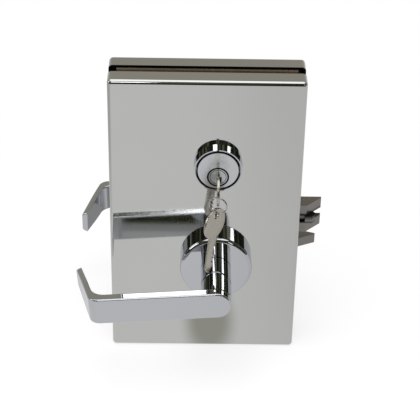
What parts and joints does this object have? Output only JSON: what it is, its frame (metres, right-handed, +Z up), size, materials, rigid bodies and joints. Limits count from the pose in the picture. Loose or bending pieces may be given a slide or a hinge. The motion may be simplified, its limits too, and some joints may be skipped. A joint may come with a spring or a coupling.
{
  "type": "glass door center lock",
  "caption": "Mirror-polished center lock for a frameless glass door: a clamping housing with a keyed cylinder, levers on both faces, an anti-friction latch bolt and a guard bolt.",
  "frame": {"origin": "middle of the housing's bottom edge, halfway through the glass slot", "axes": "+X across the door to the edge where the latch comes out, -Y out of the keyed front face, +Z up"},
  "size_m": [0.1983, 0.164, 0.254],
  "materials": {
    "polished_steel": "mirror-polished stainless steel",
    "chrome_trim": "bright chrome plate",
    "satin_chrome": "satin chrome plate",
    "satin_bolt": "satin stainless steel",
    "satin_plate": "satin stainless steel",
    "zinc_plate": "zinc-plated steel",
    "dark_steel": "oiled black steel",
    "spring_steel": "bright spring wire",
    "brown_fibre": "matt brown fibre",
    "bearing_plastic": "matt black acetal",
    "nickel_key": "nickel silver, lightly worn"
  },
  "bodies": {
    "housing": {"front_cover": "polished_steel", "rear_cover": "polished_steel", "front_clamp_plate": "zinc_plate", "rear_clamp_plate": "zinc_plate", "front_gasket": "brown_fibre", "rear_gasket": "brown_fibre", "clamp_bolts": "dark_steel", "clamp_sleeves": "zinc_plate", "mounting_blocks": "zinc_plate", "cover_screws": "dark_steel", "lock_case": "zinc_plate", "case_cover": "zinc_plate", "case_screws": "dark_steel", "faceplate": "satin_plate", "faceplate_screws": "satin_plate", "armor_screws": "satin_plate", "latch_spring": "spring_steel", "guard_spring": "spring_steel", "front_rose": "chrome_trim", "rear_rose": "chrome_trim", "front_rose_base": "zinc_plate", "rear_rose_base": "zinc_plate", "front_rose_spring": "spring_steel", "rear_rose_spring": "spring_steel", "front_bushing": "bearing_plastic", "rear_bushing": "bearing_plastic", "trim_bolts": "dark_steel", "cylinder_collar": "chrome_trim", "cylinder_body": "satin_chrome", "cylinder_set_screw": "dark_steel"},
    "front_lever": {"front_lever": "chrome_trim", "front_lever_screw": "dark_steel", "front_spindle": "dark_steel", "front_hub": "zinc_plate"},
    "rear_lever": {"rear_lever": "chrome_trim", "rear_lever_screw": "dark_steel", "rear_spindle": "dark_steel", "rear_hub": "zinc_plate"},
    "latch": {"latch_bolt": "satin_bolt", "tongue_pin": "dark_steel", "latch_tail": "zinc_plate", "latch_spring_rod": "dark_steel"},
    "tongue": {"latch_tongue": "satin_bolt"},
    "guard": {"guard_bolt": "satin_bolt", "guard_rod": "dark_steel"},
    "plug": {"cylinder_plug": "satin_chrome", "cylinder_cam": "zinc_plate", "cam_screws": "dark_steel"},
    "stop_slide": {"stop_slide": "zinc_plate"},
    "key": {"key": "nickel_key"},
    "key_ring": {"key_ring": "spring_steel"},
    "spare_key": {"spare_key": "nickel_key"}
  },
  "joints": [
    {"name": "front_lever_turn", "type": "hinge", "parent": "housing", "child": "front_lever", "pos_m": [0.0095, -0.0202, 0.0885], "axis": [0, 1, 0], "range_deg": [-45, 0], "stiffness_Nm_per_rad": 2, "springref_deg": 20.05},
    {"name": "rear_lever_turn", "type": "hinge", "parent": "housing", "child": "rear_lever", "pos_m": [0.0095, 0.0202, 0.0885], "axis": [0, 1, 0], "range_deg": [-45, 0], "stiffness_Nm_per_rad": 2, "springref_deg": 20.05},
    {"name": "latch_slide", "type": "slide", "parent": "housing", "child": "latch", "axis": [1, 0, 0], "range_m": [-0.0191, 0], "stiffness_N_per_m": 120, "springref_m": 0.02, "deforming": ["latch_spring"]},
    {"name": "tongue_swing", "type": "hinge", "parent": "latch", "child": "tongue", "pos_m": [0.0665, 0, 0.122], "axis": [0, 0, 1], "range_deg": [0, 6], "stiffness_Nm_per_rad": 0.05, "springref_deg": -17.19},
    {"name": "guard_slide", "type": "slide", "parent": "housing", "child": "guard", "axis": [1, 0, 0], "range_m": [-0.015, 0], "stiffness_N_per_m": 120, "springref_m": 0.015, "deforming": ["guard_spring"]},
    {"name": "plug_turn", "type": "hinge", "parent": "housing", "child": "plug", "pos_m": [0.0095, -0.0282, 0.1742], "axis": [0, 1, 0], "range_deg": [0, 90]},
    {"name": "stop_slide", "type": "slide", "parent": "housing", "child": "stop_slide", "axis": [0, 0, -1], "range_m": [0, 0.01556]},
    {"name": "key_slide", "type": "slide", "parent": "plug", "child": "key", "axis": [0, -1, 0], "range_m": [0, 0.026]},
    {"name": "ring_swing", "type": "hinge", "parent": "key", "child": "key_ring", "pos_m": [0.0095, -0.0547, 0.1742], "axis": [1, 0, 0], "range_deg": [-60, 10]},
    {"name": "spare_key_swing", "type": "hinge", "parent": "key_ring", "child": "spare_key", "pos_m": [0.0079, -0.05412, 0.1561], "axis": [0.766, -0.6428, 0], "range_deg": [-20, 20]}
  ],
  "couplings": [
    {"joint": "rear_lever_turn", "follows": "front_lever_turn", "ratio": 1},
    {"joint": "latch_slide", "follows": "front_lever_turn", "m_per_rad": 0.0242},
    {"joint": "stop_slide", "follows": "plug_turn", "m_per_rad": 0.0099}
  ]
}
